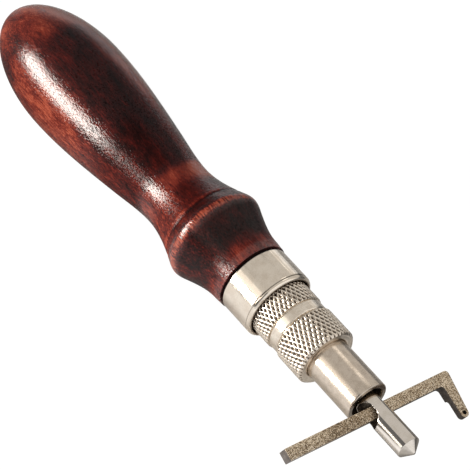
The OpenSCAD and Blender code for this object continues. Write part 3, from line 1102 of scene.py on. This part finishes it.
def pale_table():
    """Glows towards the eye, over a share of its own shading, and towards the metal on one side."""
    material, tree, shader = new_material("pale_table")
    tree.nodes.remove(shader)
    seen = field(tree, "ShaderNodeLightPath", output="Is Camera Ray")
    place = field(tree, "ShaderNodeTexCoord", output="Object")
    x, y, _ = place.parts()
    front = x.fade(-0.06, 0.0)
    by_rod = x.fade(0.054, 0.064)
    by_cone = x.fade(0.080, 0.092)
    grey = 0.25 + 0.60 * front.calc("MAXIMUM", y.fade(0.0, 0.03))
    # Painted shadow: in reflections the table is darker beside the rod on the cutter's side
    grey *= 1.0 - 0.55 * by_rod * y.fade(-0.005, 0.005)
    far = place.vector("LENGTH", output="Value").fade(0.09, 0.22)
    to_eye = seen * (floor_white + (1 - floor_white) * far)
    to_metal = front * y.fade(-0.006, -0.022) * (1.0 - seen)
    to_metal *= (0.65 + 0.29 * by_rod) * (1.0 - 0.5 * by_cone)
    matt = field(tree, "ShaderNodeBsdfDiffuse", {"Color": seen.mixed(grey, floor_colour)})
    glow = field(tree, "ShaderNodeEmission", {"Strength": floor_glow})
    shares = {0: to_eye.calc("MAXIMUM", to_metal), 1: matt, 2: glow}
    connect(tree.nodes["Material Output"], {"Surface": field(tree, "ShaderNodeMixShader", shares)})
    return material


floor_mesh = bpy.data.meshes.new("table")
floor_corners = [(x * floor_half, y * floor_half, 0) for x, y in ((-1, -1), (1, -1), (1, 1), (-1, 1))]
floor_mesh.from_pydata(floor_corners, [], [(0, 1, 2, 3)])
floor_mesh.materials.append(pale_table())
placed("table", floor_mesh)

# Surround: a dim room, brighter ahead of the tool's point, and low down behind it on the cutter's side.
# The eye sees it as plain white.
world = bpy.data.worlds.new("studio")
bpy.context.scene.world = world
world.use_nodes = True


def room_light(tree):
    """Brightness of the room in the direction of a ray, and white towards the eye."""
    x, y, z = field(tree, "ShaderNodeTexCoord", output="Generated").parts()
    walls = 0.15 + 0.85 * x.fade(0.35, 0.90)
    walls += 0.78 * x.fade(-0.40, -0.45) * y.fade(0.25, 0.55) * z.fade(0.42, 0.12)
    return walls.calc("MAXIMUM", field(tree, "ShaderNodeLightPath", output="Is Camera Ray"))


connect(world.node_tree.nodes["Background"], {"Color": room_light(world.node_tree)})

# Light: a large soft box, low on the side away from the cutter, draws the long highlight down the handle,
# and a dim card beside it the one on the rod. White cards arched over the clamp fill the metal, and two
# small strips on the cutter's side draw thin lines along the handle and the sleeve.
lamp_colour = (1.0, 0.955, 0.885)
card_distance = 0.070
card_rear = -0.0157

# White cards: turn about the axis and half their width in degrees, length, radiance
white_cards = ((40, 22, 0.126, 0.50), (94, 32, 0.126, 0.50), (132, 6, 0.054, 0.55), (147, 9, 0.054, 1.10))

# Strips: name, place along the tool, offset from its axis, length, width, radiance
strips = (
    ("strip_light", -0.0440, (0.0, 0.1290, 0.0770), 0.032, 0.008, 0.62),
    ("sleeve_strip", 0.0270, (0.0, 0.0254, 0.0630), 0.016, 0.018, 1.00),
)


def panel(name, middle, aim, length, width, radiance):
    """A flat lamp of even brightness that faces the place it is aimed at."""
    data = bpy.data.lights.new(name, "AREA")
    data.shape = "RECTANGLE"
    data.size = length
    data.size_y = width
    data.energy = radiance * math.pi * length * width
    data.color = lamp_colour
    lamp = placed(name, data)
    lamp.location = middle
    lamp.rotation_mode = "QUATERNION"
    lamp.rotation_quaternion = (aim - middle).to_track_quat("-Z", "Y")


panel("soft_box", Vector((-0.2860, -0.4038, 0.0790)), Vector((0.0010, -0.0148, 0.0140)),
      length=0.3395, width=0.150, radiance=24.0)
panel("rod_card", Vector((-0.1219, -0.5248, 0.1040)), Vector((0.1651, -0.1358, 0.0140)),
      length=0.0680, width=0.200, radiance=1.25)
for card, (turn, half_turn, length, radiance) in enumerate(white_cards):
    turn, half_turn = math.radians(turn), math.radians(half_turn)
    foot = Vector((card_rear + length / 2, axis_y, axis_z))
    head = foot + Vector((0.0, math.cos(turn), math.sin(turn))) * card_distance
    panel(f"white_card_{card}", head, foot, length, 2 * card_distance * math.tan(half_turn), radiance)
for name, along, offset, length, width, radiance in strips:
    foot = Vector((along, axis_y, axis_z))
    panel(name, foot + Vector(offset), foot, length, width, radiance)

# Camera: a long lens ahead of the tool and above it, on the side away from the cutter, turned a little
# about its own line of sight.
camera_azimuth = math.radians(40.14)
camera_elevation = math.radians(43.86)
to_camera = Vector((math.sin(camera_azimuth) * math.cos(camera_elevation),
                    -math.cos(camera_azimuth) * math.cos(camera_elevation), math.sin(camera_elevation)))
camera_aim = Vector((0.01202, 0.00221, 0.02027))
camera_distance = 0.52264
camera_roll = math.radians(17.0)
camera_data = bpy.data.cameras.new("camera")
camera_data.sensor_width = 36.0
camera_data.lens = 168.51
camera_data.clip_start = 0.01
camera_data.clip_end = 20.0
camera = placed("camera", camera_data)
camera.location = camera_aim + to_camera * camera_distance
camera.rotation_mode = "QUATERNION"
level_view = (-to_camera).to_track_quat("-Z", "Y")
camera.rotation_quaternion = level_view @ Quaternion((0.0, 0.0, 1.0), camera_roll)
bpy.context.scene.camera = camera
bpy.context.scene.view_settings.view_transform = "Standard"
